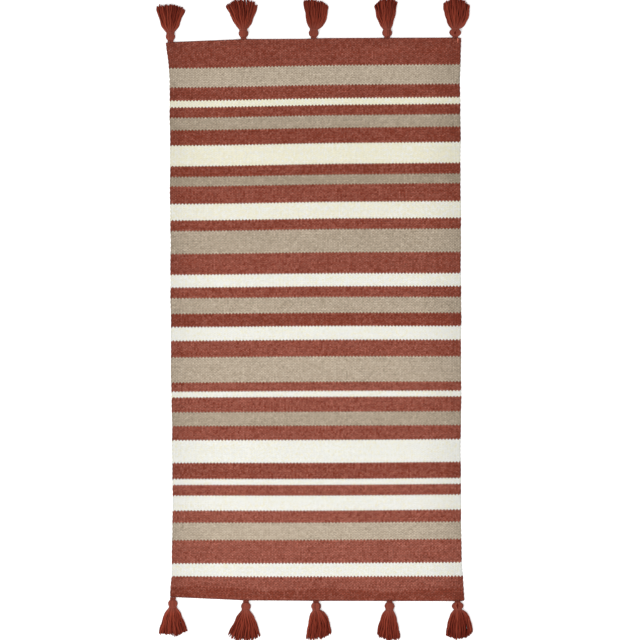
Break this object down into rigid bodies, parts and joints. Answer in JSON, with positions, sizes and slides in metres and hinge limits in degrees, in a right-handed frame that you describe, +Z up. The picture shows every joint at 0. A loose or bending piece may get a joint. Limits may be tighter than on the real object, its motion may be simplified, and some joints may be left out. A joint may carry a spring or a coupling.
{
  "type": "runner rug",
  "caption": "Flat-woven cross-striped cotton runner rug with turned, stitched hems and hinged yarn tassels along both short ends.",
  "frame": {"origin": "centre of the cloth, on the floor it lies on", "axes": "+Z up, out of the rug's upper face; Y along the rug's length, with its far end at +Y; X across it, along the stripes"},
  "size_m": [0.7576, 1.5498, 0.0197],
  "materials": {
    "rust_weft": "matte rust cotton weft, dense ribbed flat weave",
    "beige_weft": "matte beige cotton weft, dense ribbed flat weave",
    "cream_weft": "matte cream cotton weft, dense ribbed flat weave",
    "hem_thread": "matte twisted cotton sewing thread",
    "tassel_yarn": "soft plied cotton yarn, slightly darker rust",
    "binding_yarn": "matte plied cotton yarn",
    "tie_yarn": "matte plied cotton yarn"
  },
  "bodies": {
    "rug": {"ground_cloth": "rust_weft", "weft_stripe_02_beige": "beige_weft", "weft_stripe_04_cream": "cream_weft", "weft_stripe_06_beige": "beige_weft", "weft_stripe_08_cream": "cream_weft", "weft_stripe_10_beige": "beige_weft", "weft_stripe_12_cream": "cream_weft", "weft_stripe_14_beige": "beige_weft", "weft_stripe_16_cream": "cream_weft", "weft_stripe_18_beige": "beige_weft", "weft_stripe_20_cream": "cream_weft", "weft_stripe_22_beige": "beige_weft", "weft_stripe_24_cream": "cream_weft", "weft_stripe_26_beige": "beige_weft", "weft_stripe_28_cream": "cream_weft", "weft_stripe_30_cream": "cream_weft", "weft_stripe_32_cream": "cream_weft", "weft_stripe_34_beige": "beige_weft", "weft_stripe_36_cream": "cream_weft", "hem_thread_far": "hem_thread", "hem_thread_near": "hem_thread"},
    "tassel_far_1_tie": {"tassel_far_1_knot": "tie_yarn"},
    "tassel_far_1": {"tassel_far_1_yarn": "tassel_yarn", "tassel_far_1_binding": "binding_yarn"},
    "tassel_far_2_tie": {"tassel_far_2_knot": "tie_yarn"},
    "tassel_far_2": {"tassel_far_2_yarn": "tassel_yarn", "tassel_far_2_binding": "binding_yarn"},
    "tassel_far_3_tie": {"tassel_far_3_knot": "tie_yarn"},
    "tassel_far_3": {"tassel_far_3_yarn": "tassel_yarn", "tassel_far_3_binding": "binding_yarn"},
    "tassel_far_4_tie": {"tassel_far_4_knot": "tie_yarn"},
    "tassel_far_4": {"tassel_far_4_yarn": "tassel_yarn", "tassel_far_4_binding": "binding_yarn"},
    "tassel_far_5_tie": {"tassel_far_5_knot": "tie_yarn"},
    "tassel_far_5": {"tassel_far_5_yarn": "tassel_yarn", "tassel_far_5_binding": "binding_yarn"},
    "tassel_near_1_tie": {"tassel_near_1_knot": "tie_yarn"},
    "tassel_near_1": {"tassel_near_1_yarn": "tassel_yarn", "tassel_near_1_binding": "binding_yarn"},
    "tassel_near_2_tie": {"tassel_near_2_knot": "tie_yarn"},
    "tassel_near_2": {"tassel_near_2_yarn": "tassel_yarn", "tassel_near_2_binding": "binding_yarn"},
    "tassel_near_3_tie": {"tassel_near_3_knot": "tie_yarn"},
    "tassel_near_3": {"tassel_near_3_yarn": "tassel_yarn", "tassel_near_3_binding": "binding_yarn"},
    "tassel_near_4_tie": {"tassel_near_4_knot": "tie_yarn"},
    "tassel_near_4": {"tassel_near_4_yarn": "tassel_yarn", "tassel_near_4_binding": "binding_yarn"},
    "tassel_near_5_tie": {"tassel_near_5_knot": "tie_yarn"},
    "tassel_near_5": {"tassel_near_5_yarn": "tassel_yarn", "tassel_near_5_binding": "binding_yarn"}
  },
  "joints": [
    {"name": "tassel_far_1_lift", "type": "hinge", "parent": "rug", "child": "tassel_far_1_tie", "pos_m": [-0.347, 0.66797, 0.00365], "axis": [1, 0, 0], "range_deg": [0, 90]},
    {"name": "tassel_far_1_swing", "type": "hinge", "parent": "tassel_far_1_tie", "child": "tassel_far_1", "pos_m": [-0.347, 0.68373, 0.00991], "axis": [0, 0, 1], "range_deg": [-25, 25]},
    {"name": "tassel_far_2_lift", "type": "hinge", "parent": "rug", "child": "tassel_far_2_tie", "pos_m": [-0.17125, 0.6748, 0.00365], "axis": [1, 0, 0], "range_deg": [0, 90]},
    {"name": "tassel_far_2_swing", "type": "hinge", "parent": "tassel_far_2_tie", "child": "tassel_far_2", "pos_m": [-0.17125, 0.69056, 0.00991], "axis": [0, 0, 1], "range_deg": [-25, 25]},
    {"name": "tassel_far_3_lift", "type": "hinge", "parent": "rug", "child": "tassel_far_3_tie", "pos_m": [-0.0025, 0.67485, 0.00365], "axis": [1, 0, 0], "range_deg": [0, 90]},
    {"name": "tassel_far_3_swing", "type": "hinge", "parent": "tassel_far_3_tie", "child": "tassel_far_3", "pos_m": [-0.0025, 0.69061, 0.00991], "axis": [0, 0, 1], "range_deg": [-25, 25]},
    {"name": "tassel_far_4_lift", "type": "hinge", "parent": "rug", "child": "tassel_far_4_tie", "pos_m": [0.17425, 0.67485, 0.00365], "axis": [1, 0, 0], "range_deg": [0, 90]},
    {"name": "tassel_far_4_swing", "type": "hinge", "parent": "tassel_far_4_tie", "child": "tassel_far_4", "pos_m": [0.17425, 0.69061, 0.00991], "axis": [0, 0, 1], "range_deg": [-25, 25]},
    {"name": "tassel_far_5_lift", "type": "hinge", "parent": "rug", "child": "tassel_far_5_tie", "pos_m": [0.338, 0.67485, 0.00365], "axis": [1, 0, 0], "range_deg": [0, 90]},
    {"name": "tassel_far_5_swing", "type": "hinge", "parent": "tassel_far_5_tie", "child": "tassel_far_5", "pos_m": [0.338, 0.69061, 0.00991], "axis": [0, 0, 1], "range_deg": [-25, 25]},
    {"name": "tassel_near_1_lift", "type": "hinge", "parent": "rug", "child": "tassel_near_1_tie", "pos_m": [-0.347, -0.66797, 0.00365], "axis": [-1, 0, 0], "range_deg": [0, 90]},
    {"name": "tassel_near_1_swing", "type": "hinge", "parent": "tassel_near_1_tie", "child": "tassel_near_1", "pos_m": [-0.347, -0.68373, 0.00991], "axis": [0, 0, 1], "range_deg": [-25, 25]},
    {"name": "tassel_near_2_lift", "type": "hinge", "parent": "rug", "child": "tassel_near_2_tie", "pos_m": [-0.17125, -0.6748, 0.00365], "axis": [-1, 0, 0], "range_deg": [0, 90]},
    {"name": "tassel_near_2_swing", "type": "hinge", "parent": "tassel_near_2_tie", "child": "tassel_near_2", "pos_m": [-0.17125, -0.69056, 0.00991], "axis": [0, 0, 1], "range_deg": [-25, 25]},
    {"name": "tassel_near_3_lift", "type": "hinge", "parent": "rug", "child": "tassel_near_3_tie", "pos_m": [-0.0025, -0.67485, 0.00365], "axis": [-1, 0, 0], "range_deg": [0, 90]},
    {"name": "tassel_near_3_swing", "type": "hinge", "parent": "tassel_near_3_tie", "child": "tassel_near_3", "pos_m": [-0.0025, -0.69061, 0.00991], "axis": [0, 0, 1], "range_deg": [-25, 25]},
    {"name": "tassel_near_4_lift", "type": "hinge", "parent": "rug", "child": "tassel_near_4_tie", "pos_m": [0.17425, -0.67485, 0.00365], "axis": [-1, 0, 0], "range_deg": [0, 90]},
    {"name": "tassel_near_4_swing", "type": "hinge", "parent": "tassel_near_4_tie", "child": "tassel_near_4", "pos_m": [0.17425, -0.69061, 0.00991], "axis": [0, 0, 1], "range_deg": [-25, 25]},
    {"name": "tassel_near_5_lift", "type": "hinge", "parent": "rug", "child": "tassel_near_5_tie", "pos_m": [0.338, -0.67485, 0.00365], "axis": [-1, 0, 0], "range_deg": [0, 90]},
    {"name": "tassel_near_5_swing", "type": "hinge", "parent": "tassel_near_5_tie", "child": "tassel_near_5", "pos_m": [0.338, -0.69061, 0.00991], "axis": [0, 0, 1], "range_deg": [-25, 25]}
  ]
}
